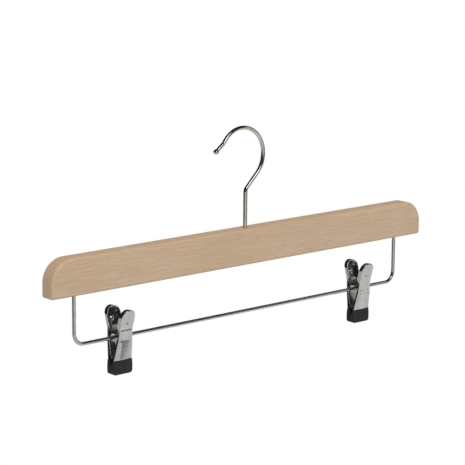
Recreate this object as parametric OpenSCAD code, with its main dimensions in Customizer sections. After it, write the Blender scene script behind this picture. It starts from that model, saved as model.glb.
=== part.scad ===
// Trouser hanger: a wooden bar with a swivelling hook, and a wire below it that carries two sprung clips.
// The origin is the rail seat, the highest point inside the hook's crook. +X runs along the bar to the right,
// seen from the front, -Y is the front and +Z is up.

/* [Wooden bar] */
// Length of the wooden bar
bar_l = 380; // [300:1:450]
// Height of the wooden bar
bar_h = 28.8; // [25:0.1:40]
// Depth of the wooden bar, front to back
bar_t = 13.6; // [12:0.1:20]
// Radius of the two upper ends
bar_end_r = 18; // [10:0.5:20]
// Radius of the two lower ends
bar_foot_r = 2; // [1:0.1:5]
// Easing of the long edges
bar_edge_r = 2.3; // [0.8:0.1:4]

/* [Hook] */
// Diameter of the hook's wire
hook_d = 3.2; // [2.5:0.1:4]
// Inner radius of the crook
crook_r = 20.3; // [16:0.1:25]
// Distance of the shank to the right of the crook's centre
shank_x = 4; // [0:0.1:8]
// Slope of the straight slant between the crook and the shank, from level
slant_angle = 45.3; // [35:0.1:60]
// Height of the bar's top below the rail seat
bar_drop = 77.2; // [65:0.1:100]
// Direction from the crook's centre to the end of its arc before the tip
crook_tip_angle = 148; // [120:1:160]
// Length of the straight tip, from the arc's end to the ball's centre
tip_l = 9.7; // [6:0.1:15]
// Outward flare of the tip from the arc's own direction
tip_flare = 20; // [5:1:30]
// Diameter of the ball on the tip
ball_d = 4.4; // [3.5:0.1:6]
// Bend radius of the neck, at the wire's centre
neck_bend_r = 4.5; // [2.5:0.1:6]

/* [Swivel] */
// Depth of the counterbore under the bar
counterbore_depth = 6; // [4:0.5:12]
// Radius of the counterbore
counterbore_r = 5; // [4.6:0.1:6]
// Radius of the washer
washer_r = 4.2; // [3.5:0.1:4.4]
// Thickness of the washer
washer_t = 0.8; // [0.5:0.1:1.5]
// Radius of the shank's upset head
head_r = 2.8; // [2.4:0.1:3.3]
// Height of the shank's upset head
head_h = 1.6; // [1:0.1:2]
// End play between the head and the washer
head_play = 0.1; // [0.05:0.05:0.3]
// Radial clearance between the shank and its hole
shank_clear = 0.08; // [0.02:0.01:0.1]

/* [Clip bar] */
// Diameter of the clip bar's wire
wire_d = 2.9; // [2.5:0.1:3.2]
// Distance of each leg's centre from the end of the bar
leg_inset = 24.3; // [12:0.1:60]
// Height of the wire's centre below the bar's underside
wire_drop = 38.5; // [34:0.1:60]
// Bend radius of the corners, at the wire's centre
wire_bend_r = 8.5; // [5:0.5:15]
// Length of each leg inside the bar
leg_in = 15; // [8:0.5:18]
// Radial clearance between a leg and its hole, filled with glue
leg_clear = 0.05; // [0.02:0.01:0.1]

/* [Clips] */
// Distance of the left clip's middle from the left leg
left_clip_inset = 42.2; // [16:0.1:120]
// Distance of the right clip's middle from the right leg
right_clip_inset = 40.1; // [16:0.1:120]
// Thickness of the jaws' sheet
sheet = 0.8; // [0.6:0.1:1]
// Height of the paddle's top above the wire's centre
paddle_top = 22.5; // [18:0.5:26]
// Radius of the paddle's round top
paddle_r = 6.4; // [5.5:0.1:8]
// Height of the bend between the paddle and the waist, above the wire's centre
waist_top = 6.5; // [5:0.5:8]
// Depth of the bend between the waist and the lower half, below the wire's centre
waist_drop = 2; // [1:0.5:2.5]
// Width of the jaw at its waist
waist_w = 12.4; // [12:0.1:16]
// Width of the jaw at the wire
pivot_w = 13.2; // [12.6:0.1:17]
// Width of the jaw inside the pad
jaw_w = 17; // [14:0.1:20]
// Distance of the jaw's outer face from the wire's centre, at the wire's height
pivot_reach = 7.45; // [7:0.05:9]
// Outward lean of the paddle
paddle_lean = 15.9; // [10:0.1:20]
// Outward lean of the waist
waist_lean = 5.3; // [0:0.1:8]
// Depth of the paddle's rim, from the outer face
rim_depth = 3.9; // [2:0.1:5]
// Depth of the side flanges, from the outer face
flange_depth = 2; // [1.2:0.1:3]
// Radius of a lug's nose
lug_r = 3; // [2.6:0.1:3.2]
// Running clearance between the wire and the lugs' holes
lug_clear = 0.05; // [0.02:0.01:0.1]
// Gap between the coil's end and a front lug, and between a front lug and its back lug
lug_gap = 0.2; // [0.1:0.05:0.3]
// Distance of a rib from the jaw's middle
rib_x = 4.5; // [3:0.1:5.5]
// Radius of a rib
rib_r = 0.5; // [0.3:0.05:0.6]
// Radius of the round dent in the paddle
dent_r = 1.75; // [1:0.05:2.5]
// Height of that dent above the wire's centre
dent_z = 12.4; // [10:0.1:16]

/* [Springs] */
// Diameter of the spring's wire
spring_d = 1.2; // [0.9:0.1:1.4]
// Radius of the coil, at the wire's centre
coil_r = 3; // [2.8:0.1:3.6]
// Number of turns in the coil
coil_turns = 3; // [2:1:4]
// Gap between the coil's turns
coil_gap = 0.5; // [0.45:0.05:0.8]
// Height of the legs' ends above the wire's centre
spring_leg_top = 14; // [10:0.5:16]
// Distance between a leg and its jaw's inner face
spring_seat = 0.2; // [0.1:0.05:0.4]

/* [Pads] */
// Depth of a pad's top below the wire's centre
pad_top_drop = 17.2; // [16:0.1:20]
// Depth of a pad's lower edge below the wire's centre
pad_foot_drop = 28.5; // [27:0.1:32]
// Thickness of the rubber on the jaw's inner face and below its end
coat = 1.2; // [0.8:0.1:1.5]
// Thickness of the rubber on the jaw's sides
side_coat = 0.6; // [0.4:0.1:2]
// Thickness of the rubber on the jaw's outer face at the pad's top
rim_coat = 0.4; // [0.3:0.1:1.5]
// Distance of the pad's outer face from the plane where two pads meet, at its foot
pad_foot_reach = 4.4; // [3.6:0.1:5]
// Radius of a pad's lower corners
pad_corner_r = 2.5; // [1:0.1:4]
// Height of the flat face where two pads meet
grip_h = 6.5; // [4:0.5:8]
// Gap between the two closed pads
grip_gap = 0.1; // [0.05:0.05:0.3]

/* [Hidden] */
$fn = 64;
// Reach of a cutting shape past what it cuts
past = 1;
// Space past the end of a leg, in its hole
leg_end_gap = 0.5;

// Places along the height, from the rail seat down, and along the bar, from its middle
bar_foot_z = -bar_drop - bar_h;
wire_z = bar_foot_z - wire_drop;
ceiling_z = bar_foot_z + counterbore_depth;
washer_foot_z = ceiling_z - washer_t;
head_top_z = washer_foot_z - head_play;
leg_x = bar_l / 2 - leg_inset;
left_clip_x = left_clip_inset - leg_x;
right_clip_x = leg_x - right_clip_inset;

// The hook's centreline, as [x, z] points: the slant leaves the crook's arc where it touches it, and its line
// meets the shank's at the neck
hook_rc = crook_r + hook_d / 2;
crook_c = [0, -crook_r];
slant_top = crook_c + hook_rc * dir(slant_angle - 90);
neck = [shank_x, slant_top[1] - (slant_top[0] - shank_x) * tan(slant_angle)];
neck_cut = neck_bend_r * tan((90 - slant_angle) / 2);
slant_foot = neck + neck_cut * dir(slant_angle);
neck_bend_c = neck + [neck_bend_r, -neck_cut];
tip_from = crook_c + hook_rc * dir(crook_tip_angle);
ball_c = tip_from + tip_l * dir(crook_tip_angle + 90 - tip_flare);
shank_top = neck - [0, neck_cut];
// A ball a hair wider than the wire joins two lengths of the hook, and the straight one stops short inside it
joint_d = hook_d + 0.1;
joint_gap = 0.1;

// The jaws, in a clip's own frame with the wire's centre at the origin. The flanges end a gap above the pad and
// deepen to the paddle's rim over a short taper.
pad_clear = 0.4;
rim_taper = 2;
lug_hole_r = wire_d / 2 + lug_clear;
jaw_foot_z = coat - pad_foot_drop;
pad_w = jaw_w + 2 * side_coat;
// The lower half leans in until the sheet's end has its coat of rubber inside the plane where the pads meet
foot_spare = 0.15;
foot_reach = grip_gap / 2 + coat + sheet + foot_spare;
waist_foot_reach = pivot_reach - waist_drop * tan(waist_lean);
lower_lean = atan((waist_foot_reach - foot_reach) / (-waist_drop - jaw_foot_z));
flange_foot_z = pad_clear - pad_top_drop;
rim_foot_z = waist_top + rim_taper;

// The springs, in the same frame. The knee is where a leg leaves its straight run up the jaw for the coil.
spring_sides = 6;
rings_a_turn = 8;
knee_blend = 0.8;
leg_tip = [seat_y(spring_leg_top), spring_leg_top];
knee_z = 4.5;
knee = [seat_y(waist_top) - (waist_top - knee_z) * tan(paddle_lean), knee_z];
leave_angle = atan2(knee[1], knee[0]) + acos(coil_r / norm(knee));
coil_sweep = 360 * coil_turns + 180 - 2 * leave_angle;
coil_half = (spring_d + coil_gap) * coil_sweep / 720;
coil_steps = round(coil_sweep / 360 * rings_a_turn);
front_lug_x = coil_half + spring_d / 2 + lug_gap;
back_lug_x = front_lug_x + sheet + lug_gap;
leave_point = coil_r * dir(leave_angle);
back_leg = [
    leg_tip,
    knee + knee_blend * unit(leg_tip - knee),
    knee + knee_blend * 0.25 * unit(unit(leg_tip - knee) + unit(leave_point - knee)),
    knee + knee_blend * unit(leave_point - knee)
];
spring_path = concat(
    [for (p = back_leg) [-coil_half, p[0], p[1]]],
    [for (i = [0:coil_steps]) coil_point(i / coil_steps)],
    [for (i = [len(back_leg) - 1:-1:0]) [coil_half, -back_leg[i][0], back_leg[i][1]]]
);

function dir(a) = [cos(a), sin(a)];
function unit(v) = v / norm(v);

// Distance of the jaw's outer face from the wire's centre, at a height z
function reach(z) =
    z > waist_top ? pivot_reach + waist_top * tan(waist_lean) + (z - waist_top) * tan(paddle_lean) :
    z > -waist_drop ? pivot_reach + z * tan(waist_lean) :
    waist_foot_reach + (z + waist_drop) * tan(lower_lean);

// Distance of a spring leg's centre from the wire's centre, where it lies along the jaw
function seat_y(z) = reach(z) - sheet - spring_seat - spring_d / 2;

// A point of the coil, from its back end at t = 0 to its front end at t = 1
function coil_point(t) =
    let (p = coil_r * dir(leave_angle + t * coil_sweep))
    [coil_half * (2 * t - 1), p[0], p[1]];

// Least distance between the wire's surfaces, for points more than half a turn apart
spring_gap = min([
    for (i = [0:len(spring_path) - 1], j = [i + 4:1:len(spring_path) - 1])
        norm(spring_path[i] - spring_path[j]) - spring_d
]);
echo(spring_self_gap = spring_gap);

// A rectangle standing on the x axis, with round lower and upper corners
module soft_rect(w, h, low_r, top_r) {
    translate([low_r - w / 2, 0])
        square([w - 2 * low_r, low_r]);
    translate([-w / 2, low_r])
        square([w, h - low_r - top_r]);
    translate([top_r - w / 2, h - top_r])
        square([w - 2 * top_r, top_r]);
    for (side = [-1, 1]) {
        translate([side * (w / 2 - low_r), low_r])
            circle(r = low_r);
        translate([side * (w / 2 - top_r), h - top_r])
            circle(r = top_r);
    }
}

// A rectangle from the y axis out to x = l, centred on the x axis, with its two outer corners round
module eased_strip(l, w, r) {
    translate([0, -w / 2])
        square([l - r, w]);
    translate([0, r - w / 2])
        square([l, w - 2 * r]);
    for (side = [-1, 1])
        translate([l - r, side * (w / 2 - r)])
            circle(r = r);
}

// A straight length of wire between two points of the x, y plane
module wire_line(from, to, d) {
    translate(from)
        rotate(atan2(to[1] - from[1], to[0] - from[0]))
            rotate([0, 90, 0])
                cylinder(d = d, h = norm(to - from));
}

// A bent length of wire in the x, y plane
module wire_arc(centre, r, from, turn, d) {
    translate(centre)
        rotate(from)
            rotate_extrude(angle = turn)
                translate([r, 0])
                    circle(d = d);
}

// Stands a shape drawn in the x, y plane up in the x, z plane
module upright() {
    rotate([90, 0, 0])
        children();
}

module bar_blank() {
    inner_l = bar_l - 2 * bar_end_r;
    foot_h = bar_h - bar_end_r;
    translate([-inner_l / 2, 0, 0])
        bar_section(inner_l);
    for (side = [0, 1])
        mirror([side, 0, 0])
            translate([inner_l / 2, 0, 0]) {
                translate([0, 0, foot_h])
                    upright()
                        rotate_extrude(angle = 90)
                            eased_strip(bar_end_r, bar_t, bar_edge_r);
                intersection() {
                    linear_extrude(foot_h)
                        eased_strip(bar_end_r, bar_t, bar_edge_r);
                    bar_section(bar_end_r);
                    translate([0, bar_t / 2, 0])
                        upright()
                            linear_extrude(bar_t)
                                foot_outline(foot_h);
                }
            }
}

// The bar's cross-section, run along +X
module bar_section(l) {
    rotate([90, 0, 90])
        linear_extrude(l)
            soft_rect(bar_t, bar_h, bar_edge_r, bar_edge_r);
}

// The lower end of the bar from the front, with its one round corner
module foot_outline(h) {
    square([bar_end_r - bar_foot_r, h]);
    translate([0, bar_foot_r])
        square([bar_end_r, h - bar_foot_r]);
    translate([bar_end_r - bar_foot_r, bar_foot_r])
        circle(r = bar_foot_r);
}

module wood_bar() {
    leg_hole_l = leg_in + leg_end_gap;
    color("#C3AA8B")
        translate([shank_x, 0, bar_foot_z])
            difference() {
                bar_blank();
                translate([0, 0, -past])
                    cylinder(r = hook_d / 2 + shank_clear, h = bar_h + 2 * past);
                translate([0, 0, -past])
                    cylinder(r = counterbore_r, h = counterbore_depth + past);
                for (side = [-1, 1])
                    translate([side * leg_x, 0, -past])
                        cylinder(r = wire_d / 2 + leg_clear, h = leg_hole_l + past);
            }
}

module hook() {
    dome_h = head_h / 2;
    color("#A8A69F") {
        upright() {
            wire_arc(crook_c, hook_rc, slant_angle - 90, crook_tip_angle + 90 - slant_angle, hook_d);
            wire_line(
                slant_foot + joint_gap * dir(slant_angle), slant_top - joint_gap * dir(slant_angle), hook_d
            );
            wire_arc(neck_bend_c, neck_bend_r, slant_angle + 90, 90 - slant_angle, hook_d);
            wire_line(tip_from + joint_gap * unit(ball_c - tip_from), ball_c, hook_d);
            for (joint = [shank_top, slant_foot, slant_top, tip_from])
                translate(joint)
                    sphere(d = joint_d);
            translate(ball_c)
                sphere(d = ball_d);
        }
        translate([shank_x, 0, head_top_z])
            cylinder(d = hook_d, h = shank_top[1] - joint_gap - head_top_z);
        translate([shank_x, 0, head_top_z - head_h + dome_h])
            cylinder(r = head_r, h = head_h - dome_h);
        translate([shank_x, 0, head_top_z - head_h])
            cylinder(r1 = head_r / 2, r2 = head_r, h = dome_h);
    }
}

module hook_washer() {
    color("#8E8F8C")
        translate([shank_x, 0, washer_foot_z])
            difference() {
                cylinder(r = washer_r, h = washer_t);
                translate([0, 0, -past])
                    cylinder(r = hook_d / 2 + shank_clear, h = washer_t + 2 * past);
            }
}

module clip_bar() {
    corner = [leg_x - wire_bend_r, wire_z + wire_bend_r];
    color("#8E9090")
        translate([shank_x, 0, 0])
            upright() {
                wire_line([-corner[0], wire_z], [corner[0], wire_z], wire_d);
                for (side = [0, 1])
                    mirror([side, 0]) {
                        wire_arc(corner, wire_bend_r, -90, 90, wire_d);
                        wire_line([leg_x, corner[1]], [leg_x, bar_foot_z + leg_in], wire_d);
                    }
            }
}

// The jaw's outline from the front, drawn in by inset
module jaw_outline(inset) {
    sides = [
        [paddle_r, paddle_top - paddle_r],
        [waist_w / 2, waist_top],
        [pivot_w / 2, 0],
        [jaw_w / 2, -pad_top_drop],
        [jaw_w / 2, jaw_foot_z]
    ];
    translate([0, paddle_top - paddle_r])
        circle(r = paddle_r - inset);
    polygon(concat(
        [for (p = sides) [p[0] - inset, p[1]]],
        [for (i = [len(sides) - 1:-1:0]) [inset - sides[i][0], sides[i][1]]]
    ));
}

// A strip that follows the jaw's outer face through the heights zs, with a depth for each height
module bent_strip(zs, depths) {
    last = len(zs) - 1;
    rotate([90, 0, 90])
        linear_extrude(pad_w, center = true)
            polygon(concat(
                [for (z = zs) [reach(z), z]],
                [for (i = [last:-1:0]) [reach(zs[i]) - depths[i], zs[i]]]
            ));
}

// Stands an outline up and runs it back, through the jaw
module through_jaw() {
    translate([0, reach(paddle_top) + past, 0])
        upright()
            linear_extrude(reach(paddle_top) + 2 * past)
                children();
}

// The sheet of a jaw, without its rim, lugs and ribs
module jaw_sheet() {
    zs = [jaw_foot_z, -waist_drop, waist_top, paddle_top];
    intersection() {
        bent_strip(zs, [for (z = zs) sheet]);
        through_jaw()
            jaw_outline(0);
    }
}

// The rim round the paddle and the flanges along the waist and the lower half
module jaw_rim() {
    zs = [flange_foot_z, -waist_drop, waist_top, rim_foot_z, paddle_top];
    intersection() {
        bent_strip(zs, [flange_depth, flange_depth, flange_depth, rim_depth, rim_depth]);
        through_jaw()
            difference() {
                jaw_outline(0);
                jaw_outline(sheet);
            }
    }
}

// A lug that stands in from the sheet and holds the wire
module jaw_lug() {
    zs = [-lug_r, -waist_drop, lug_r];
    rotate([90, 0, 90])
        linear_extrude(sheet) {
            circle(r = lug_r);
            polygon(concat([for (z = zs) [reach(z) - sheet / 2, z]], [[0, lug_r], [0, -lug_r]]));
        }
}

// A round dent in the jaw's outer face
module dent(x, z, lean, r) {
    depth = sheet / 3;
    translate([x, reach(z), z])
        rotate([-90 - lean, 0, 0])
            translate([0, 0, -depth])
                cylinder(r = r, h = depth + past);
}

// A jaw, drawn as the back one of a clip, with lugs at lug_x from its middle
module jaw(lug_x) {
    rib_top_z = -waist_drop - 1;
    rib_sink = 0.2;
    weld_r = 0.8;
    color("#9A9C95")
        difference() {
            union() {
                jaw_sheet();
                jaw_rim();
                for (side = [0, 1])
                    mirror([side, 0, 0]) {
                        translate([lug_x, 0, 0])
                            jaw_lug();
                        translate([rib_x, reach(rib_top_z) - rib_sink, rib_top_z])
                            rotate([180 - lower_lean, 0, 0])
                                cylinder(r = rib_r, h = (rib_top_z - flange_foot_z) / cos(lower_lean));
                    }
            }
            rotate([0, 90, 0])
                cylinder(r = lug_hole_r, h = pad_w, center = true);
            dent(0, dent_z, paddle_lean, dent_r);
            for (side = [-1, 1])
                dent(side * (lug_x + sheet / 2), 0, waist_lean, weld_r);
        }
}

// A pad, drawn as the back one of a clip
module pad() {
    top = -pad_top_drop;
    foot = -pad_foot_drop;
    bevel = 0.5;
    profile = [
        [reach(top) + rim_coat, top],
        [pad_foot_reach, foot + 2 * bevel],
        [pad_foot_reach - 2 * bevel, foot],
        [grip_gap / 2 + bevel, foot],
        [grip_gap / 2, foot + bevel],
        [grip_gap / 2, foot + grip_h],
        [reach(top) - sheet - coat, top]
    ];
    color("#2B2B2D")
        difference() {
            intersection() {
                rotate([90, 0, 90])
                    linear_extrude(pad_w, center = true)
                        polygon(profile);
                translate([0, 0, foot])
                    through_jaw()
                        soft_rect(pad_w, pad_foot_drop - pad_top_drop, pad_corner_r, bevel);
            }
            jaw_sheet();
        }
}

// A spring, wound round the wire between the front jaw's lugs, with a leg up each paddle
module spring() {
    last = len(spring_path) - 1;
    rings = [for (i = [0:last]) spring_ring(i, last)];
    side_faces = [
        for (i = [0:last - 1], k = [0:spring_sides - 1])
            let (a = i * spring_sides + k, b = i * spring_sides + (k + 1) % spring_sides)
                each [[a, b, b + spring_sides], [a, b + spring_sides, a + spring_sides]]
    ];
    end_faces = [
        for (k = [1:spring_sides - 2])
            each [[0, k + 1, k], [last * spring_sides, last * spring_sides + k, last * spring_sides + k + 1]]
    ];
    color("#B4B4B0")
        polyhedron([for (ring = rings) each ring], concat(side_faces, end_faces));
}

// The corners of the wire's section at point i of the spring's path
function spring_ring(i, last) =
    let (
        along = unit(spring_path[min(i + 1, last)] - spring_path[max(i - 1, 0)]),
        across = unit([1, 0, 0] - along[0] * along),
        up = cross(along, across)
    )
    [
        for (k = [0:spring_sides - 1])
            let (c = spring_d / 2 * dir(360 * k / spring_sides))
            spring_path[i] + c[0] * across + c[1] * up
    ];

// Places a piece of a clip on the wire
module left_clip() {
    translate([shank_x + left_clip_x, 0, wire_z])
        children();
}

module right_clip() {
    translate([shank_x + right_clip_x, 0, wire_z])
        children();
}

// Turns a back jaw or pad round to the front
module to_front() {
    rotate(180)
        children();
}

module left_front_jaw() { left_clip() to_front() jaw(front_lug_x); }
module left_back_jaw() { left_clip() jaw(back_lug_x); }
module left_spring() { left_clip() spring(); }
module left_front_pad() { left_clip() to_front() pad(); }
module left_back_pad() { left_clip() pad(); }
module right_front_jaw() { right_clip() to_front() jaw(front_lug_x); }
module right_back_jaw() { right_clip() jaw(back_lug_x); }
module right_spring() { right_clip() spring(); }
module right_front_pad() { right_clip() to_front() pad(); }
module right_back_pad() { right_clip() pad(); }

wood_bar();
hook();
hook_washer();
clip_bar();
left_front_jaw();
left_back_jaw();
left_spring();
left_front_pad();
left_back_pad();
right_front_jaw();
right_back_jaw();
right_spring();
right_front_pad();
right_back_pad();
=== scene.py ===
"""Trouser hanger: the finished meshes, materials, light and camera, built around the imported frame.

Meshes are worked out in millimetres in the row frame. Its origin is the highest point inside the hook's
crook, +X runs along the bar to the right, -Y is the front and +Z is up. Angles are in degrees.
"""

import math

import bmesh
import bpy
from mathutils import Matrix, Vector


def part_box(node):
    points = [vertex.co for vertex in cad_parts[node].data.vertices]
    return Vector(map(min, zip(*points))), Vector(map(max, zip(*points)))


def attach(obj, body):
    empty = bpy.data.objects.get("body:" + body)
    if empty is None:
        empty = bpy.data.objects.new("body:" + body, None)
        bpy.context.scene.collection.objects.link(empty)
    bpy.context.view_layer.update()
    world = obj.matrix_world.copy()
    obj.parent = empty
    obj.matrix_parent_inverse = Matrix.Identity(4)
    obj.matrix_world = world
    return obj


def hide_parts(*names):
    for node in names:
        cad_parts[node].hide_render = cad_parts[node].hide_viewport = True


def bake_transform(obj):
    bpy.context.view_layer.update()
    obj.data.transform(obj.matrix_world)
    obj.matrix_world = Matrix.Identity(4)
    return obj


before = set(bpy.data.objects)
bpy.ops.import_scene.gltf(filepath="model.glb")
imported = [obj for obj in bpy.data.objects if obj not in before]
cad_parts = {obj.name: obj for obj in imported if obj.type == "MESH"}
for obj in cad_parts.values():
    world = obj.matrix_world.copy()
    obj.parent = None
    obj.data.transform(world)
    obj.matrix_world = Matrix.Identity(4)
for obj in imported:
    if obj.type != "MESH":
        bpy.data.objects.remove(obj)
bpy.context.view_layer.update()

MM = 0.001

# Wooden bar
BAR_END_R = 18
BAR_FOOT_R = 2
BAR_EDGE_R = 2.3
COUNTERBORE_R = 5
COUNTERBORE_DEPTH = 6
HOLE_SPARE = 0.08

# Hook
HOOK_R = 1.6
CROOK_INNER_R = 20.3
CROOK_R = CROOK_INNER_R + HOOK_R
SLANT_ANGLE = 45.3
CROOK_TIP_ANGLE = 148
NECK_BEND_R = 4.5
TIP_L = 9.7
TIP_FLARE = 20
BALL_R = 2.2
BALL_BACK_ANGLE = 150
BALL_FACE_ANGLE = 32
BALL_FACE_R = 0.9
BALL_FACE_BULGE = 0.03
BALL_NECK_START = 2.6
BALL_NECK_END = 2.0
BALL_NECK_CUT = 0.12
HEAD_R = 2.8

# The hook's upset lower head, as heights over its foot and radii
HEAD_PROFILE = (
    (0, 1.2), (0.15, 1.7), (0.7, HEAD_R - 0.15), (0.9, HEAD_R),
    (1.45, HEAD_R), (1.6, HEAD_R - 0.15), (1.61, HOOK_R),
)
HEAD_TO_SHANK = 3
SHANK_TO_BEND = 1

# The nick at the start of the hook's tip, as distances along the tip and radii
NICK_PROFILE = ((0.35, HOOK_R - 0.02), (0.55, HOOK_R - 0.16), (0.8, HOOK_R - 0.16), (1.0, HOOK_R - 0.02))
NICK_END = 1.6

# Clip bar
WIRE_R = 1.45
WIRE_BEND_R = 8.5

# Washer
WASHER_EASE = 0.15

# Jaws, in a clip's own frame with the origin at the wire's centre
SHEET = 0.8
CUT_EDGE_EASE = 0.14
CUT_EDGE_ANGLE = 50
PADDLE_TOP = 22.5
PADDLE_R = 6.4
WAIST_TOP = 6.5
WAIST_FOOT = -2
PAD_TOP = -17.2
PAD_FOOT = -28.5
JAW_FOOT = -27.3
WAIST_HALF_W = 6.2
PIVOT_HALF_W = 6.6
JAW_HALF_W = 8.5
PIVOT_REACH = 7.45
PADDLE_SLOPE = math.tan(math.radians(15.9))
WAIST_SLOPE = math.tan(math.radians(5.3))
JAW_FOOT_REACH = 2.2
RIM_DEPTH = 3.9
FLANGE_DEPTH = 2
BEND_R = 1
CORNER_EASE = 1.2
LUG_R = 3
LUG_HOLE_R = 1.5
JAW_ROWS = 112
JAW_COLUMNS = 52
CAP_ROWS = 26
LUG_SIDES = 72

# Pressed detail of the jaws. A pair is where a slope starts and where it is done.
RIB_X = 4.5
RIB_HEIGHT = 0.5
RIB_SIDE = (0.1, 1.2)
RIB_FOOT = (PAD_TOP, PAD_TOP + 1)
RIB_TOP = (WAIST_FOOT - 3, WAIST_FOOT - 0.6)
DENT_Z = 12.4
DENT_DEPTH = 0.55
DENT_R = 1.75
DENT_SIDE = (DENT_R - 1.2, DENT_R)
WELD_DEPTH = 0.35
WELD_SIDE = (0.1, 0.95)
CROWN_DROP = 0.30
CROWN_END = (WAIST_FOOT - 4, WAIST_TOP + 2)
FLANGE_START = (PAD_TOP + 0.4, PAD_TOP + 2)
RIM_START = (WAIST_TOP, WAIST_TOP + 2.5)

# Spring
SPRING_R = 0.6
SPRING_END_R = SPRING_R * 0.75
COIL_R = 3
COIL_TURNS = 3
COIL_GAP = 0.5
SPRING_TOP = 14
SPRING_SEAT = 0.2
KNEE_Z = 4.5
KNEE_BEND = 1.2
LUG_GAP = 0.2

# Pads
COAT = 1.2
RIM_COAT = 0.4
SIDE_COAT = 0.6
PAD_FOOT_REACH = 4.4
PAD_CORNER_R = 2.5
PAD_EDGE_R = 1.2
PAD_RIM_H = 0.5
PAD_RIM_R = 0.4
PAD_FACE_R = 0.5
PAD_FOOT_R = 1
PAD_TAPER = 0.25
PAD_TAPER_H = 5
GRIP_H = 6.5
GRIP_Y = 0.05

# Angles between faces above which an edge stays sharp
SHEET_SHARP = 35
WIRE_SHARP = 50
SPRING_SHARP = 60

# Camera, found by fitting the bar's edges and corners in the photo. Its distance and target are in metres.
CAMERA_AZIMUTH = 41.020
CAMERA_ELEVATION = 11.897
CAMERA_ROLL = 0.540
CAMERA_DISTANCE = 1.5606
CAMERA_TARGET = Vector((-0.00006, 0.01008, -0.08257))
CAMERA_LENS = 154.32
SENSOR_WIDTH = 36
CLIP_END = 50

# Studio, in metres
FLOOR_Z = -0.62
FLOOR_SIZE = 2.4
FLOOR_CLEAR_R = 0.55
FLOOR_END_R = 0.95
GROUND_SIZE = 9
GROUND_CENTRE = (0, -1.5, FLOOR_Z - 0.01)
LAMP_AIM = Vector((0, 0, -0.1))
AMBIENT = 0.5

# What only polished metal sees: name, centre, facing, width, height, and the brightness of a glowing card
FLAGS = (
    ("flag_above", (0, 0, 2.4), (0, 0, -1), 7, 7, None),
    ("flag_front", (0, -3.0, 1.10), (0, 1, 0), 7, 2.8, None),
    ("flag_front_left", (-2.7, -1.9, 1.10), (0.8, 0.6, 0), 2.6, 2.8, None),
    ("flag_front_right", (1.64, -1.15, -0.45), (-0.82, 0.57, 0), 1.5, 0.34, None),
    ("card_grey", (1.34, -1.49, -0.08), (-0.67, 0.74, 0), 0.9, 0.40, (0.28, 0.38)),
    ("flag_left", (-1.8, 1.1, 0.7), (1, 0, 0), 3.6, 3.2, None),
    ("flag_back_left", (-0.8, 2.6, 0.2), (0.2, -1, 0), 2.2, 2.4, None),
    ("flag_right", (1.9, 0.35, 0.7), (-1, 0, 0), 2.3, 3.2, None),
    ("flag_back", (0, 2.8, 1.75), (0, -1, 0), 7, 2.0, None),
    ("shade_low", (0.41, -0.62, FLOOR_Z + 0.01), (0, 0, 1), 0.20, 0.24, (0.2, 0.3)),
    ("card_key", (-0.22, -1.72, 1.02), (0.11, 0.86, -0.51), 0.90, 1.05, (2.4, 2.8)),
)

# Soft boxes: name, place, watts, width and height
LAMPS = (
    ("key", (-0.2, -1.63, 1.35), 20.5, 0.75, 0.6),
    ("fill", (1.5, -1.5, 0.5), 6, 0.9, 1.2),
    ("side", (-1.6, -0.5, 0.5), 8, 0.9, 0.9),
    ("top", (0.3, 0.5, 1.6), 6, 1.2, 0.8),
)


def box_mm(node):
    low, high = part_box(node)
    return low / MM, high / MM


bar_low, bar_high = box_mm("wood_bar")
wire_low, wire_high = box_mm("clip_bar")
washer_low, washer_high = box_mm("hook_washer")
hook_low = box_mm("hook")[0]
SHANK_X = (bar_low.x + bar_high.x) / 2
WIRE_Z = wire_low.z + WIRE_R


# Shared geometry


def polar(angle, r=1.0):
    a = math.radians(angle)
    return Vector((r * math.cos(a), r * math.sin(a)))


def fade(value, start, end):
    """0 before start, 1 after end, and smooth between them."""
    t = min(max((value - start) / (end - start), 0), 1)
    return t * t * (3 - 2 * t)


def spread(start, end, count):
    """Evenly spaced values that cut the way from start to end into count steps."""
    return [start + (end - start) * k / count for k in range(count + 1)]


def round_in(distance, r):
    """How far a rounded edge of radius r has drawn in, at a distance from its end."""
    if distance >= r:
        return 0
    return r - math.sqrt(r * r - (r - distance) ** 2)


def loft(rings, loop=False):
    """A closed skin through rings with equal numbers of points. Its ends are capped, or joined by loop."""
    bm = bmesh.new()
    grid = [[bm.verts.new(point) for point in ring] for ring in rings]
    followers = grid[1:] + grid[:1] if loop else grid[1:]
    for ring, after in zip(grid, followers):
        for k in range(len(ring)):
            n = (k + 1) % len(ring)
            bm.faces.new((ring[k], ring[n], after[n], after[k]))
    if not loop:
        bm.faces.new(reversed(grid[0]))
        bm.faces.new(grid[-1])
    bmesh.ops.recalc_face_normals(bm, faces=bm.faces)
    return bm


def tube(path, radii, sides):
    """A round skin along a path, whose start is square to X."""
    rings = []
    last = len(path) - 1
    across = Vector((1, 0, 0))
    for i, point in enumerate(path):
        along = (path[min(i + 1, last)] - path[max(i - 1, 0)]).normalized()
        across = (across - across.dot(along) * along).normalized()
        up = along.cross(across)
        turn = [polar(360 * k / sides, radii[i]) for k in range(sides)]
        rings.append([point + c.x * across + c.y * up for c in turn])
    return loft(rings)


def smooth(mesh, sharp_angle):
    mesh.shade_smooth()
    mesh.set_sharp_from_angle(angle=math.radians(sharp_angle))


def make_piece(name, bm, material=None, sharp_angle=SHEET_SHARP):
    """A scene object from a mesh in millimetres."""
    bmesh.ops.scale(bm, vec=(MM, MM, MM), verts=bm.verts)
    mesh = bpy.data.meshes.new(name)
    bm.to_mesh(mesh)
    bm.free()
    smooth(mesh, sharp_angle)
    if material:
        mesh.materials.append(material)
    piece = bpy.data.objects.new(name, mesh)
    bpy.context.scene.collection.objects.link(piece)
    return piece


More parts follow.
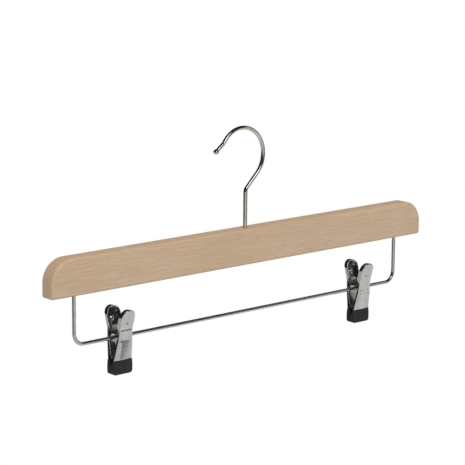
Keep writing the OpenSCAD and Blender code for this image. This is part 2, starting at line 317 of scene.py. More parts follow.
def settle(piece):
    """Turns a piece's modifiers into plain mesh."""
    bpy.context.view_layer.update()
    seen = piece.evaluated_get(bpy.context.evaluated_depsgraph_get())
    mesh = bpy.data.meshes.new_from_object(seen)
    piece.modifiers.clear()
    piece.data = mesh
    smooth(mesh, SHEET_SHARP)


def stand_for(piece, node, body):
    """Puts a piece in a CAD node's place."""
    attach(piece, body)
    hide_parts(node)


# Materials


class Graph:
    """A node material under construction. Patterns are laid out in the piece's own millimetres."""

    def __init__(self, name):
        self.material = bpy.data.materials.new(name)
        self.material.use_nodes = True
        self.tree = self.material.node_tree
        self.shader = self.tree.nodes["Principled BSDF"]
        self.coordinates = self.add("TexCoord").outputs["Object"]

    def add(self, kind, **inputs):
        made = self.tree.nodes.new("ShaderNode" + kind)
        for name, value in inputs.items():
            self.feed(made.inputs[name.replace("_", " ")], value)
        return made

    def feed(self, socket, value):
        if isinstance(value, bpy.types.NodeSocket):
            self.tree.links.new(value, socket)
        else:
            socket.default_value = value

    def surface(self, **inputs):
        for name, value in inputs.items():
            self.feed(self.shader.inputs[name.replace("_", " ")], value)

    def space(self, sizes):
        """Coordinates in which one unit is sizes millimetres along each axis."""
        scaled = self.add("Mapping", Vector=self.coordinates, Scale=[1 / (MM * size) for size in sizes])
        return scaled.outputs[0]

    def noise(self, sizes, detail=2.0, roughness=0.5):
        made = self.add("TexNoise", Vector=self.space(sizes), Scale=1.0, Detail=detail, Roughness=roughness)
        return made.outputs["Fac"]

    def specks(self, sizes, reach):
        """1 at the middle of scattered specks and 0 beyond reach from them."""
        cells = self.add("TexVoronoi", Vector=self.space(sizes), Scale=1.0)
        return self.remap(cells.outputs["Distance"], 0, reach, 1, 0)

    def remap(self, value, from_low, from_high, low=0, high=1):
        ends = {"From_Min": from_low, "From_Max": from_high, "To_Min": low, "To_Max": high}
        return self.add("MapRange", Value=value, **ends).outputs["Result"]

    def math(self, operation, first, second=0.0):
        made = self.add("Math")
        made.operation = operation
        self.feed(made.inputs[0], first)
        self.feed(made.inputs[1], second)
        return made.outputs[0]

    def times(self, first, second):
        return self.math("MULTIPLY", first, second)

    def mix(self, share, first, second):
        """From the colour first at 0 to second at 1. Sockets 6, 7 and 2 are the node's colour ones."""
        made = self.add("Mix")
        made.data_type = "RGBA"
        self.feed(made.inputs[0], share)
        self.feed(made.inputs[6], first)
        self.feed(made.inputs[7], second)
        return made.outputs[2]

    def layers(self, colour, *over):
        """A colour with others laid over it in turn, each as a share and a colour."""
        for share, layer in over:
            colour = self.mix(share, colour, layer)
        return colour

    def bump(self, height, depth, under=None):
        """A relief of depth millimetres where height goes from 0 to 1."""
        made = self.add("Bump", Height=height, Strength=1.0, Distance=depth * MM)
        if under:
            self.feed(made.inputs["Normal"], under)
        return made.outputs[0]

    def raised_edges(self):
        """1 on the mesh's raised edges, broken up along them."""
        raised = self.remap(self.add("NewGeometry").outputs["Pointiness"], 0.505, 0.58)
        patches = self.remap(self.noise((7, 7, 7)), 0.35, 0.65)
        return self.times(raised, patches)


def rgb(red, green, blue):
    return (red, green, blue, 1.0)


# Colours, and the growth rings' sizes
BEECH_PALE = rgb(0.535, 0.402, 0.284)
BEECH_DEEP = rgb(0.508, 0.366, 0.246)
BEECH_STREAK = rgb(0.400, 0.275, 0.172)
BEECH_RING = rgb(0.330, 0.200, 0.115)
BEECH_FLECK = rgb(0.330, 0.205, 0.120)
BEECH_PORE = rgb(0.300, 0.190, 0.115)
# Painted shade for the wood's faces turned up and down, darker and warmer than the front
BEECH_TOP_BOTTOM_SHADE = rgb(0.500, 0.325, 0.190)
BEECH_WORN = rgb(0.600, 0.440, 0.300)
RING_SPACING = 2.1
RING_SWAY = 5
RING_LEAN = -48
RING_SHARPNESS = 3.0
PLATE_WORN = rgb(0.80, 0.79, 0.76)
PLATE_PIT = rgb(0.20, 0.20, 0.19)
RUBBER_DARK = rgb(0.012, 0.012, 0.014)
RUBBER_BLOOM = rgb(0.024, 0.023, 0.026)
# Lighter grey on the rubber's raised edges: rubbed wear and a painted sheen
RUBBER_RUB_AND_SHEEN = rgb(0.055, 0.054, 0.057)


def growth_rings(g):
    """1 on the dark line of each growth ring. The rings lean across the bar and sway along it."""
    sway = g.noise((150, 20, 20))
    lean = g.add("Mapping", Vector=g.coordinates, Rotation=(math.radians(RING_LEAN), 0, 0))
    height = g.add("SeparateXYZ", Vector=lean.outputs[0]).outputs["Z"]
    bent = g.math("ADD", height, g.times(sway, RING_SWAY * MM))
    wave = g.math("SINE", g.times(bent, 2 * math.pi / (RING_SPACING * MM)))
    return g.math("POWER", g.remap(wave, -1, 1), RING_SHARPNESS)


def beech_colour(g, streaks, flecks, pores):
    """The wood's colour. Rings show most on the end grain, and the faces turned up and down, with the long
    rounded edges, get a darker, warmer painted shade.
    """
    facing = g.add("SeparateXYZ", Vector=g.add("TexCoord").outputs["Normal"])
    end_grain = g.remap(g.math("ABSOLUTE", facing.outputs["X"]), 0.4, 0.9)
    # Painted shade: faces turned up and down, and the long rounded edges, are coloured darker and warmer
    top_bottom_shade = g.remap(g.math("ABSOLUTE", facing.outputs["Z"]), 0.35, 0.9, 0, 0.6)
    ring_share = g.remap(end_grain, 0, 1, 0.12, 0.75)
    clouds = g.remap(g.noise((60, 12, 12)), 0.35, 0.65)
    return g.layers(
        BEECH_PALE,
        (clouds, BEECH_DEEP),
        (g.remap(streaks, 0.34, 0.70, 0, 0.60), BEECH_STREAK),
        (g.times(growth_rings(g), ring_share), BEECH_RING),
        (g.times(flecks, 0.42), BEECH_FLECK),
        (g.times(pores, 0.20), BEECH_PORE),
        (top_bottom_shade, BEECH_TOP_BOTTOM_SHADE),
        (g.times(g.raised_edges(), 0.35), BEECH_WORN),
    )


def beech():
    """Steamed beech: growth rings that cross the bar at a slant, fine streaks and short dark ray flecks."""
    g = Graph("beech")
    streaks = g.noise((14, 0.9, 0.8), detail=4.0, roughness=0.66)
    fibres = g.noise((5, 0.16, 0.16), detail=3.0, roughness=0.6)
    flecks = g.specks((4.6, 1.3, 0.85), 0.34)
    pores = g.specks((1.3, 0.34, 0.34), 0.34)
    g.surface(Base_Color=beech_colour(g, streaks, flecks, pores))
    g.surface(Roughness=g.remap(streaks, 0.3, 0.7, 0.44, 0.60), Specular_IOR_Level=0.35)
    grain = g.bump(streaks, 0.045, g.bump(fibres, 0.020))
    g.surface(Normal=g.bump(g.math("ADD", flecks, pores), -0.018, grain))
    return g.material


def plated(name, tint, dull, roughness, wave, score_sizes):
    """Bright plate, hazy in patches from handling, with pits, fine scores and shallow waves."""
    g = Graph(name)
    haze = g.remap(g.noise((6, 6, 6), detail=4.0, roughness=0.6), 0.35, 0.70)
    scores = g.noise(score_sizes)
    pits = g.specks((1.1, 1.1, 1.1), 0.16)
    worn = (g.times(g.raised_edges(), 0.5), PLATE_WORN)
    pitted = (g.times(pits, 0.35), PLATE_PIT)
    g.surface(Metallic=1.0, Base_Color=g.layers(tint, (haze, dull), worn, pitted))
    g.surface(Roughness=g.math("ADD", g.remap(haze, 0, 1, *roughness), g.times(scores, 0.04)))
    waves = g.bump(g.noise((4.5, 4.5, 4.5), detail=1.0), wave)
    g.surface(Normal=g.bump(pits, -0.006, g.bump(scores, 0.0012, waves)))
    return g.material


def black_rubber():
    """Dipped rubber: near black, with a fine leathery skin, faint dip lines and a grey bloom."""
    g = Graph("black_rubber")
    skin = g.noise((0.34, 0.34, 0.34), detail=4.0, roughness=0.65)
    dips = g.noise((5.5, 5.5, 0.5), detail=3.0)
    bloom = g.noise((4, 4, 3), detail=4.0, roughness=0.6)
    # Raised edges painted lighter: partly rubbed wear, partly a painted sheen
    rubbed_and_sheen = (g.times(g.raised_edges(), 0.5), RUBBER_RUB_AND_SHEEN)
    colour = g.layers(RUBBER_DARK, (g.remap(bloom, 0.35, 0.72), RUBBER_BLOOM), rubbed_and_sheen)
    g.surface(Base_Color=colour, Specular_IOR_Level=0.25)
    g.surface(Roughness=g.remap(bloom, 0.3, 0.7, 0.42, 0.62))
    g.surface(Normal=g.bump(skin, 0.05, g.bump(dips, 0.07)))
    return g.material


BEECH = beech()
HOOK_WIRE = plated(
    "hook_wire", tint=rgb(0.70, 0.67, 0.62), dull=rgb(0.60, 0.57, 0.52),
    roughness=(0.11, 0.20), wave=0.004, score_sizes=(0.3, 0.3, 6),
)
CLIP_WIRE = plated(
    "clip_wire", tint=rgb(0.62, 0.63, 0.62), dull=rgb(0.52, 0.53, 0.53),
    roughness=(0.12, 0.20), wave=0.004, score_sizes=(6, 0.3, 0.3),
)
WASHER_STEEL = plated(
    "washer_steel", tint=rgb(0.56, 0.56, 0.55), dull=rgb(0.44, 0.44, 0.44),
    roughness=(0.22, 0.36), wave=0.004, score_sizes=(2, 0.1, 1),
)
JAW_STEEL = plated(
    "jaw_steel", tint=rgb(0.615, 0.630, 0.620), dull=rgb(0.535, 0.550, 0.540),
    roughness=(0.06, 0.16), wave=0.030, score_sizes=(0.2, 0.2, 3),
)
SPRING_STEEL = plated(
    "spring_steel", tint=rgb(0.72, 0.72, 0.70), dull=rgb(0.62, 0.62, 0.60),
    roughness=(0.07, 0.15), wave=0.003, score_sizes=(1, 1, 0.2),
)
RUBBER = black_rubber()


# Wooden bar


def bar_outline(inset, y):
    """The bar's outline from the front, drawn in by inset."""
    points = []
    least_r = 0.02
    # Each corner's place, first angle, radius and steps, and which way is inwards
    corners = (
        (bar_high.x, bar_low.z, -90, BAR_FOOT_R, 8, -1, 1),
        (bar_high.x, bar_high.z, 0, BAR_END_R, 40, -1, -1),
        (bar_low.x, bar_high.z, 90, BAR_END_R, 40, 1, -1),
        (bar_low.x, bar_low.z, 180, BAR_FOOT_R, 8, 1, 1),
    )
    for x, z, start, r, count, in_x, in_z in corners:
        left = max(r - inset, least_r)
        centre = Vector((x + in_x * (inset + left), z + in_z * (inset + left)))
        for angle in spread(start, start + 90, count):
            p = centre + polar(angle, left)
            points.append(Vector((p.x, y, p.y)))
    return points


def bar_rings():
    """Outlines from the front face to the back one, round both long edges."""
    half = bar_high.y
    flat = 0.5
    turns = [polar(a) for a in spread(0, 90, 8)]
    rounding = [(BAR_EDGE_R * (1 - turn.y), half - BAR_EDGE_R * (1 - turn.x)) for turn in turns]
    front = [(BAR_EDGE_R + flat, half)] + rounding
    rings = [bar_outline(inset, -y) for inset, y in front]
    return rings + [bar_outline(inset, y) for inset, y in reversed(front)]


def bore(x, r, low, high):
    """A cutter for a round hole, between two heights."""
    path = [Vector((x, 0, low)), Vector((x, 0, high))]
    return make_piece("bore", tube(path, [r, r], sides=48))


def drill(piece, cutters):
    for cutter in cutters:
        hole = piece.modifiers.new("hole", "BOOLEAN")
        hole.operation = "DIFFERENCE"
        hole.solver = "EXACT"
        hole.object = cutter
    settle(piece)
    for cutter in cutters:
        bpy.data.objects.remove(cutter)


def build_bar():
    bar = make_piece("bar", loft(bar_rings()), BEECH)
    past = 2
    foot = bar_low.z - past
    leg_x = (wire_high.x - wire_low.x) / 2 - WIRE_R
    cutters = [
        bore(SHANK_X, HOOK_R + HOLE_SPARE, foot, bar_high.z + past),
        bore(SHANK_X, COUNTERBORE_R, foot, bar_low.z + COUNTERBORE_DEPTH),
        bore(SHANK_X - leg_x, WIRE_R + HOLE_SPARE, foot, wire_high.z + past),
        bore(SHANK_X + leg_x, WIRE_R + HOLE_SPARE, foot, wire_high.z + past),
    ]
    drill(bar, cutters)
    stand_for(bar, "wood_bar", "hanger")


# Wires


def upright(points):
    return [Vector((p.x, 0, p.y)) for p in points]


def arc(centre, r, start, end, step=3):
    count = max(round(abs(end - start) / step), 1)
    return [centre + polar(a, r) for a in spread(start, end, count)]


def hook_line():
    """The hook's centreline as (point, radius) pairs, from its head under the bar to its tip's ball."""
    crook = Vector((0, HOOK_R - CROOK_R))
    slant_top = crook + polar(SLANT_ANGLE - 90, CROOK_R)
    neck = Vector((SHANK_X, slant_top.y - (slant_top.x - SHANK_X) * math.tan(math.radians(SLANT_ANGLE))))
    cut = NECK_BEND_R * math.tan(math.radians((90 - SLANT_ANGLE) / 2))
    bend = neck + Vector((NECK_BEND_R, -cut))
    head = hook_low.z
    line = [(Vector((SHANK_X, head + up)), r) for up, r in HEAD_PROFILE]
    shank = spread(head + HEAD_TO_SHANK, neck.y - cut - SHANK_TO_BEND, 24)
    line += [(Vector((SHANK_X, z)), HOOK_R) for z in shank]
    line += [(p, HOOK_R) for p in arc(bend, NECK_BEND_R, 180, SLANT_ANGLE + 90)]
    slant_foot = neck + polar(SLANT_ANGLE, cut)
    line += [(slant_foot.lerp(slant_top, t), HOOK_R) for t in spread(0, 1, 12)[1:-1]]
    line += [(p, HOOK_R) for p in arc(crook, CROOK_R, SLANT_ANGLE - 90, CROOK_TIP_ANGLE, step=2)]
    return line + hook_tip(line[-1][0])


def hook_tip(start):
    """The flared tip with the groove where it was nicked and bent, and its ball with a flattened end."""
    heading = polar(CROOK_TIP_ANGLE + 90 - TIP_FLARE)
    line = [(start + along * heading, r) for along, r in NICK_PROFILE]
    line += [(start + along * heading, HOOK_R) for along in spread(NICK_END, TIP_L - BALL_NECK_START, 6)]
    line.append((start + (TIP_L - BALL_NECK_END) * heading, HOOK_R - BALL_NECK_CUT))
    for angle in spread(BALL_BACK_ANGLE, BALL_FACE_ANGLE, 16):
        c = polar(angle, BALL_R)
        line.append((start + (TIP_L + c.x) * heading, c.y))
    face = polar(BALL_FACE_ANGLE).x * BALL_R + BALL_FACE_BULGE
    line.append((start + (TIP_L + face) * heading, BALL_FACE_R))
    return line


def build_hook():
    line = hook_line()
    path = upright([p for p, r in line])
    wire = tube(path, [r for p, r in line], sides=32)
    stand_for(make_piece("hook_wire", wire, HOOK_WIRE, WIRE_SHARP), "hook", "hook")


def build_clip_bar():
    corner = Vector(((wire_high.x - wire_low.x) / 2 - WIRE_R - WIRE_BEND_R, WIRE_Z + WIRE_BEND_R))
    leg_x = corner.x + WIRE_BEND_R
    half = [Vector((x, WIRE_Z)) for x in spread(0, corner.x, 24)]
    half += arc(corner, WIRE_BEND_R, -90, 0, step=4)[1:]
    half += [Vector((leg_x, z)) for z in spread(corner.y, wire_high.z, 10)[1:]]
    whole = [Vector((-p.x, p.y)) for p in reversed(half)] + half[1:]
    path = upright([p + Vector((SHANK_X, 0)) for p in whole])
    wire = tube(path, [WIRE_R] * len(path), sides=32)
    piece = make_piece("clip_bar_wire", wire, CLIP_WIRE, WIRE_SHARP)
    stand_for(piece, "clip_bar", "hanger")


def build_washer():
    """A pressed washer with eased edges."""
    inner = HOOK_R + HOLE_SPARE
    outer = (washer_high.x - washer_low.x) / 2
    ease = WASHER_EASE
    low, high = washer_low.z, washer_high.z
    section = [
        (inner, low + ease), (inner + ease, low), (outer - ease, low), (outer, low + ease),
        (outer, high - ease), (outer - ease, high), (inner + ease, high), (inner, high - ease),
    ]
    rings = []
    for angle in spread(0, 360, 64)[:-1]:
        turn = polar(angle)
        rings.append([Vector((SHANK_X + r * turn.x, r * turn.y, z)) for r, z in section])
    washer = make_piece("washer", loft(rings, loop=True), WASHER_STEEL)
    stand_for(washer, "hook_washer", "hanger")


# Jaws


def reach(z):
    """Distance of a jaw's outer face from the wire's centre, with sharp bends."""
    if z > WAIST_TOP:
        return PIVOT_REACH + WAIST_TOP * WAIST_SLOPE + (z - WAIST_TOP) * PADDLE_SLOPE
    if z > WAIST_FOOT:
        return PIVOT_REACH + z * WAIST_SLOPE
    waist_reach = PIVOT_REACH + WAIST_FOOT * WAIST_SLOPE
    return waist_reach + (JAW_FOOT_REACH - waist_reach) * (z - WAIST_FOOT) / (JAW_FOOT - WAIST_FOOT)


def eased(shape, z):
    """A shape's value at z with its corners rounded off over CORNER_EASE to each side."""
    offsets = spread(-CORNER_EASE, CORNER_EASE, 8)
    return sum(shape(z + d) for d in offsets) / len(offsets)


def half_width(z):
    """Half the width of a jaw at z, up to where the paddle's round end starts."""
    if z > WAIST_TOP:
        part = (z - WAIST_TOP) / (PADDLE_TOP - PADDLE_R - WAIST_TOP)
        return WAIST_HALF_W + (PADDLE_R - WAIST_HALF_W) * min(part, 1)
    if z > 0:
        return PIVOT_HALF_W + (WAIST_HALF_W - PIVOT_HALF_W) * z / WAIST_TOP
    return PIVOT_HALF_W + (JAW_HALF_W - PIVOT_HALF_W) * min(z / PAD_TOP, 1)


def wall_depth(z):
    """Depth of the turned-in edge: short in the pad, then a flange, and a deep rim round the paddle."""
    in_pad = BEND_R + 0.2
    flange = in_pad + (FLANGE_DEPTH - in_pad) * fade(z, *FLANGE_START)
    return flange + (RIM_DEPTH - FLANGE_DEPTH) * fade(z, *RIM_START)


def pressed(x, z, lug_x):
    """Height of the ribs, the dent, the lugs' weld marks and the crown over a jaw's flat outer face."""
    along_rib = fade(z, *RIB_FOOT) * (1 - fade(z, *RIB_TOP))
    height = RIB_HEIGHT * along_rib * (1 - fade(abs(abs(x) - RIB_X), *RIB_SIDE))
    height -= DENT_DEPTH * (1 - fade(math.hypot(x, z - DENT_Z), *DENT_SIDE))
    height -= WELD_DEPTH * (1 - fade(math.hypot(abs(x) - lug_x - SHEET / 2, z), *WELD_SIDE))
    crown = CROWN_DROP * (1 - fade(z, *CROWN_END))
    return height - crown * (x / JAW_HALF_W) ** 2


def jaw_edge():
    """The right edge of the sheet from foot to top, as (point, outward direction, wall depth)."""
    shoulder = PADDLE_TOP - PADDLE_R
    edge = []
    for z in spread(JAW_FOOT, shoulder, JAW_ROWS):
        edge.append((Vector((eased(half_width, z), z)), Vector((1, 0)), wall_depth(z)))
    for angle in spread(0, 90, CAP_ROWS)[1:]:
        edge.append((Vector((0, shoulder)) + polar(angle, PADDLE_R), polar(angle), RIM_DEPTH))
    return edge


def face_row(point, out, lug_x):
    """A row of points across the sheet's outer face, between the bends of its two edges."""
    p = point - BEND_R * out
    steps = [p.x * c for c in spread(-1, 1, JAW_COLUMNS)]
    return [Vector((x, eased(reach, p.y) + pressed(x, p.y, lug_x), p.y)) for x in steps]


def jaw_face(bm, edge, lug_x):
    """The sheet's outer face. Gives back its border, up the right side and down the left."""
    rows = [[bm.verts.new(v) for v in face_row(point, out, lug_x)] for point, out, _ in edge[:-1]]
    top_z = edge[-1][0].y - BEND_R
    top = bm.verts.new((0, eased(reach, top_z), top_z))
    for low, high in zip(rows, rows[1:]):
        for k in range(JAW_COLUMNS):
            bm.faces.new((low[k], high[k], high[k + 1], low[k + 1]))
    for k in range(JAW_COLUMNS):
        bm.faces.new((rows[-1][k], top, rows[-1][k + 1]))
    return [row[-1] for row in rows] + [top] + [row[0] for row in reversed(rows)]


def jaw_wall(bm, edge, border):
    """The bend along the sheet's edge and the wall that it turns into."""
    sides = [(p, o, d, 1) for p, o, d in edge] + [(p, o, d, -1) for p, o, d in reversed(edge[:-1])]
    levels = [(angle, 0) for angle in spread(0, 90, 5)[1:]] + [(90, share) for share in spread(0, 1, 4)[1:]]
    before = border
    for angle, share in levels:
        turn = polar(angle)
        loop = []
        for point, out, depth, side in sides:
            p = point - BEND_R * (1 - turn.y) * out
            inward = BEND_R * (1 - turn.x) + share * (depth - BEND_R)
            loop.append(bm.verts.new((side * p.x, eased(reach, p.y) - inward, p.y)))
        for k in range(len(loop) - 1):
            bm.faces.new((before[k], before[k + 1], loop[k + 1], loop[k]))
        before = loop


def lug_radius(angle):
    """Distance from the wire's centre to a lug's outline. At 0 it reaches the sheet."""
    turn = polar(angle)
    if turn.x <= 0:
        return LUG_R
    to_side = LUG_R / max(abs(turn.y), 0.01)
    to_sheet = PIVOT_REACH - SHEET / 2
    lean = turn.x - WAIST_SLOPE * turn.y
    if lean * to_side <= to_sheet:
        return to_side
    return to_sheet / lean


def jaw_lug(bm, x, side):
    """The middle layer of one lug, with its hole."""
    angles = spread(0, 360, LUG_SIDES)[:-1]
    loops = []
    for share in (0, 0.5, 1):
        radii = [LUG_HOLE_R + share * (lug_radius(a) - LUG_HOLE_R) for a in angles]
        points = [polar(a, r) for a, r in zip(angles, radii)]
        loops.append([bm.verts.new((side * x, p.x, p.y)) for p in points])
    for inner, outer in zip(loops, loops[1:]):
        for k in range(len(inner)):
            n = (k + 1) % len(inner)
            face = (inner[k], inner[n], outer[n], outer[k])
            bm.faces.new(face if side > 0 else reversed(face))


def thicken(piece):
    """Gives a bent surface the sheet's thickness, inwards, and eases its cut edges."""
    thick = piece.modifiers.new("sheet", "SOLIDIFY")
    thick.thickness = SHEET * MM
    thick.offset = -1
    thick.use_even_offset = True
    ease = piece.modifiers.new("edges", "BEVEL")
    ease.width = CUT_EDGE_EASE * MM
    ease.segments = 3
    ease.limit_method = "ANGLE"
    ease.angle_limit = math.radians(CUT_EDGE_ANGLE)
    settle(piece)


def jaw(name, lug_x, place):
    """One jaw, bent from sheet, with its two lugs. place puts it on the wire."""
    bm = bmesh.new()
    edge = jaw_edge()
    jaw_wall(bm, edge, jaw_face(bm, edge, lug_x))
    for side in (-1, 1):
        jaw_lug(bm, lug_x, side)
    bmesh.ops.transform(bm, matrix=place, verts=bm.verts)
    piece = make_piece(name, bm, JAW_STEEL)
    thicken(piece)
    return piece


# Springs


def seat_y(z):
    """Distance of a spring leg's centre from the wire's centre, where it lies along the jaw."""
    return reach(z) - SHEET - SPRING_SEAT - SPRING_R


def spring_leg():
    """The back leg as (y, z) points from its end to the coil, and the angle at which it leaves the coil."""
    tip = Vector((seat_y(SPRING_TOP), SPRING_TOP))
    knee = Vector((seat_y(WAIST_TOP) - (WAIST_TOP - KNEE_Z) * PADDLE_SLOPE, KNEE_Z))
    to_tip = (tip - knee).normalized()
    leave = math.degrees(math.atan2(knee.y, knee.x) + math.acos(COIL_R / knee.length))
    to_coil = (polar(leave, COIL_R) - knee).normalized()
    leg = [tip.lerp(knee + KNEE_BEND * to_tip, t) for t in spread(0, 1, 8)]
    for t in spread(0, 1, 8)[1:]:
        first = (knee + KNEE_BEND * to_tip).lerp(knee, t)
        leg.append(first.lerp(knee.lerp(knee + KNEE_BEND * to_coil, t), t))
    return leg, leave


def coil_size():
    """Half the coil's length along the wire, and the angle through which it winds from leg to leg."""
    leave = spring_leg()[1]
    sweep = 360 * COIL_TURNS + 180 - 2 * leave
    return (2 * SPRING_R + COIL_GAP) * sweep / 720, sweep


COIL_HALF, COIL_SWEEP = coil_size()
FRONT_LUG_X = COIL_HALF + SPRING_R + LUG_GAP
BACK_LUG_X = FRONT_LUG_X + SHEET + LUG_GAP


def spring_path():
    """The spring from the end of its back leg, round the coil, to the end of its front leg."""
    leg, leave = spring_leg()
    path = [Vector((-COIL_HALF, p.x, p.y)) for p in leg]
    for t in spread(0, 1, 44 * COIL_TURNS):
        p = polar(leave + t * COIL_SWEEP, COIL_R)
        path.append(Vector((COIL_HALF * (2 * t - 1), p.x, p.y)))
    return path + [Vector((COIL_HALF, -p.x, p.y)) for p in reversed(leg)]


def spring(name, place):
    path = spring_path()
    radii = [SPRING_R] * len(path)
    radii[0] = radii[-1] = SPRING_END_R
    bm = tube(path, radii, sides=16)
    bmesh.ops.transform(bm, matrix=place, verts=bm.verts)
    return make_piece(name, bm, SPRING_STEEL, SPRING_SHARP)


# Pads


def pad_ring(half_w, near, far, z):
    """A rounded rectangle at the height z, from near to far along Y."""
    r = min(PAD_EDGE_R, 0.45 * (far - near))
    corners = ((1, near, -90), (1, far, 0), (-1, far, 90), (-1, near, 180))
    ring = []
    for side, y, start in corners:
        inside = y + r if y == near else y - r
        for angle in spread(start, start + 90, 6):
            turn = polar(angle, r)
            ring.append(Vector((side * (half_w - r) + turn.x, inside + turn.y, z)))
    return ring


def pad_near(z):
    """The face that grips: flat low down, then drawn back to the sheet."""
    top = reach(PAD_TOP) - SHEET - COAT
    share = (z - PAD_FOOT - GRIP_H) / (PAD_TOP - PAD_FOOT - GRIP_H)
    return GRIP_Y + (top - GRIP_Y) * max(share, 0)


def pad_far(z):
    """The outer face, which stands away from the sheet towards the foot."""
    top = reach(PAD_TOP) + RIM_COAT
    return PAD_FOOT_REACH + (top - PAD_FOOT_REACH) * (z - PAD_FOOT) / (PAD_TOP - PAD_FOOT)


def pad_levels(height):
    """Heights of the pad's rings over its foot, close together where the foot and the rim are rounded."""
    foot = [PAD_CORNER_R * (1 - polar(a).x) for a in spread(0, 90, 9)]
    middle = spread(PAD_CORNER_R, height - PAD_RIM_H, 16)[1:]
    rim = [height - PAD_RIM_H * (1 - polar(a).y) for a in spread(0, 90, 4)[1:]]
    return foot + middle + rim


def pad(name, place):
    """A moulded rubber pad with soft corners, drawn in a little towards its rim."""
    height = PAD_TOP - PAD_FOOT
    rings = []
    for h in pad_levels(height):
        z = PAD_FOOT + h
        down = height - h
        shrink = round_in(down, PAD_RIM_R) + PAD_TAPER * (1 - fade(down, 0, PAD_TAPER_H))
        half_w = JAW_HALF_W + SIDE_COAT - round_in(h, PAD_CORNER_R) - shrink
        near = pad_near(z) + round_in(h, PAD_FACE_R) + round_in(down, PAD_FACE_R)
        rings.append(pad_ring(half_w, near, pad_far(z) - round_in(h, PAD_FOOT_R) - shrink, z))
    bm = loft(rings)
    bmesh.ops.transform(bm, matrix=place, verts=bm.verts)
    return make_piece(name, bm, RUBBER)


# Clips


def build_clip(side):
    low, high = box_mm(side + "_front_pad")
    on_wire = Vector(((low.x + high.x) / 2, 0, WIRE_Z))
    back = Matrix.Translation(on_wire)
    front = back @ Matrix.Rotation(math.pi, 4, "Z")
    for half, place, lug_x in (("front", front, FRONT_LUG_X), ("back", back, BACK_LUG_X)):
        node = side + "_" + half
        stand_for(jaw(node + "_jaw_sheet", lug_x, place), node + "_jaw", node)
        stand_for(pad(node + "_rubber", place), node + "_pad", node)
    coil = spring(side + "_spring_coil", back)
    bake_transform(coil)
    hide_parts(side + "_spring")


# Studio


def build_camera():
    azimuth, elevation, roll = (math.radians(a) for a in (CAMERA_AZIMUTH, CAMERA_ELEVATION, CAMERA_ROLL))
    level = Vector((math.sin(azimuth), math.cos(azimuth), 0))
    forward = level * math.cos(elevation) - Vector((0, 0, math.sin(elevation)))
    right = Vector((math.cos(azimuth), -math.sin(azimuth), 0))
    up = right.cross(forward)
    right, up = (
        math.cos(roll) * right + math.sin(roll) * up,
        math.cos(roll) * up - math.sin(roll) * right,
    )
    data = bpy.data.cameras.new("camera")
    data.lens = CAMERA_LENS
    data.sensor_width = SENSOR_WIDTH
    data.clip_end = CLIP_END
    camera = bpy.data.objects.new("camera", data)
    turn = Matrix((right, up, -forward)).transposed().to_4x4()
    camera.matrix_world = Matrix.Translation(CAMERA_TARGET - CAMERA_DISTANCE * forward) @ turn
    bpy.context.scene.collection.objects.link(camera)
    bpy.context.scene.camera = camera


def facing_matrix(place, direction, front):
    """Puts an object at a place with its front axis along a direction."""
    return Matrix.Translation(place) @ Vector(direction).to_track_quat(front, "Y").to_matrix().to_4x4()


def panel(name, centre, facing, width, height, material):
    """A flat stage panel that faces a direction."""
    bm = bmesh.new()
    bmesh.ops.create_grid(bm, x_segments=1, y_segments=1, size=0.5)
    bmesh.ops.scale(bm, vec=(width, height, 1), verts=bm.verts)
    mesh = bpy.data.meshes.new(name)
    bm.to_mesh(mesh)
    bm.free()
    mesh.materials.append(material)
    made = bpy.data.objects.new(name, mesh)
    made.matrix_world = facing_matrix(centre, facing, "Z")
    bpy.context.scene.collection.objects.link(made)
    return made


def flag(name, centre, facing, width, height, material):
    """A panel that only polished metal sees."""
    made = panel(name, centre, facing, width, height, material)
    made.visible_camera = False
    made.visible_diffuse = False
    made.visible_shadow = False
    made.visible_volume_scatter = False


def flag_material():
    """Near-black cloth."""
    g = Graph("flag_cloth")
    weave = g.noise((3, 3, 3))
    g.surface(Base_Color=g.mix(weave, rgb(0.012, 0.012, 0.013), rgb(0.022, 0.022, 0.022)), Roughness=0.9)
    return g.material


def floor_material():
    """A pale floor that takes light and shadow, turns white further out, and is clear from below."""
    g = Graph("floor")
    pale = g.mix(g.noise((300, 300, 300)), rgb(0.84, 0.84, 0.83), rgb(0.88, 0.88, 0.87))
    away = g.add("VectorMath")
    away.operation = "LENGTH"
    g.feed(away.inputs[0], g.coordinates)
    out = g.remap(away.outputs["Value"], FLOOR_CLEAR_R, FLOOR_END_R)
    white = g.times(out, g.add("LightPath").outputs["Is Camera Ray"])
    g.surface(Base_Color=g.mix(white, pale, rgb(0, 0, 0)), Roughness=0.8, Specular_IOR_Level=0.0)
    g.surface(Emission_Color=rgb(1, 1, 1), Emission_Strength=white)
    sides = g.add("MixShader", Fac=g.add("NewGeometry").outputs["Backfacing"])
    g.feed(sides.inputs[1], g.shader.outputs[0])
    g.feed(sides.inputs[2], g.add("BsdfTransparent").outputs[0])
    g.feed(g.tree.nodes["Material Output"].inputs["Surface"], sides.outputs[0])
    return g.material


def ground_material():
    """The ground as polished metal sees it: pale on the left, greyer to the right, dark at the back left."""
    g = Graph("ground")
    place = g.add("SeparateXYZ", Vector=g.coordinates)
    x = place.outputs["X"]
    tone = g.noise((700, 700, 700))
    at_back_left = g.times(g.remap(place.outputs["Y"], 1.0, 1.8), g.remap(x, 0.2, -0.5))
    colour = g.layers(
        rgb(0.80, 0.80, 0.78),
        (g.remap(x, -0.1, 0.4), rgb(0.58, 0.58, 0.565)),
        (g.remap(x, 1.2, 1.9), rgb(0.36, 0.36, 0.36)),
        (g.remap(tone, 0.3, 0.7, 0, 0.25), rgb(0.46, 0.46, 0.45)),
        (at_back_left, rgb(0.03, 0.03, 0.03)),
    )
    g.surface(Base_Color=rgb(0, 0, 0), Emission_Color=colour, Emission_Strength=1.0)
    return g.material


def card_material(name, low, high):
    """An even card that glows from the brightness low to high, a little mottled."""
    g = Graph(name)
    tone = g.noise((90, 90, 90))
    g.surface(Base_Color=rgb(0, 0, 0), Emission_Strength=high)
    g.surface(Emission_Color=g.mix(tone, rgb(low / high, low / high, low / high), rgb(1, 1, 1)))
    return g.material


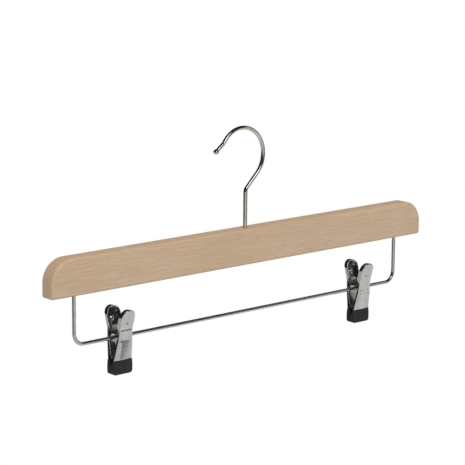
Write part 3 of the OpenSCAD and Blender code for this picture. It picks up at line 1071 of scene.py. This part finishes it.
def build_world():
    """White to the camera and to polished metal, and a soft grey light for everything else."""
    world = bpy.data.worlds.new("studio")
    bpy.context.scene.world = world
    world.use_nodes = True
    tree = world.node_tree
    ambient = tree.nodes["Background"]
    white = tree.nodes.new("ShaderNodeBackground")
    for node, strength in ((ambient, AMBIENT), (white, 1.0)):
        node.inputs["Color"].default_value = rgb(1, 1, 1)
        node.inputs["Strength"].default_value = strength
    rays = tree.nodes.new("ShaderNodeLightPath")
    share = rays.outputs["Is Camera Ray"]
    for name in ("Is Glossy Ray", "Is Transmission Ray"):
        either = tree.nodes.new("ShaderNodeMath")
        either.operation = "MAXIMUM"
        tree.links.new(share, either.inputs[0])
        tree.links.new(rays.outputs[name], either.inputs[1])
        share = either.outputs[0]
    both = tree.nodes.new("ShaderNodeMixShader")
    tree.links.new(share, both.inputs[0])
    tree.links.new(ambient.outputs[0], both.inputs[1])
    tree.links.new(white.outputs[0], both.inputs[2])
    tree.links.new(both.outputs[0], tree.nodes["World Output"].inputs["Surface"])


def lamp(name, place, watts, width, height):
    """A soft box that shines on the middle of the hanger, and that polished metal doesn't see."""
    data = bpy.data.lights.new(name, "AREA")
    data.shape = "RECTANGLE"
    data.size = width
    data.size_y = height
    data.energy = watts
    made = bpy.data.objects.new(name, data)
    made.matrix_world = facing_matrix(place, LAMP_AIM - Vector(place), "-Z")
    made.visible_glossy = False
    bpy.context.scene.collection.objects.link(made)


def build_studio():
    build_world()
    floor = panel("floor", (0, 0, FLOOR_Z), (0, 0, 1), FLOOR_SIZE, FLOOR_SIZE, floor_material())
    floor.visible_glossy = False
    flag("ground", GROUND_CENTRE, (0, 0, 1), GROUND_SIZE, GROUND_SIZE, ground_material())
    dark = flag_material()
    for name, centre, facing, width, height, glow in FLAGS:
        flag(name, centre, facing, width, height, card_material(name, *glow) if glow else dark)
    for row in LAMPS:
        lamp(*row)
    bpy.context.scene.view_settings.view_transform = "Standard"


build_bar()
build_hook()
build_clip_bar()
build_washer()
build_clip("left")
build_clip("right")
build_studio()
build_camera()
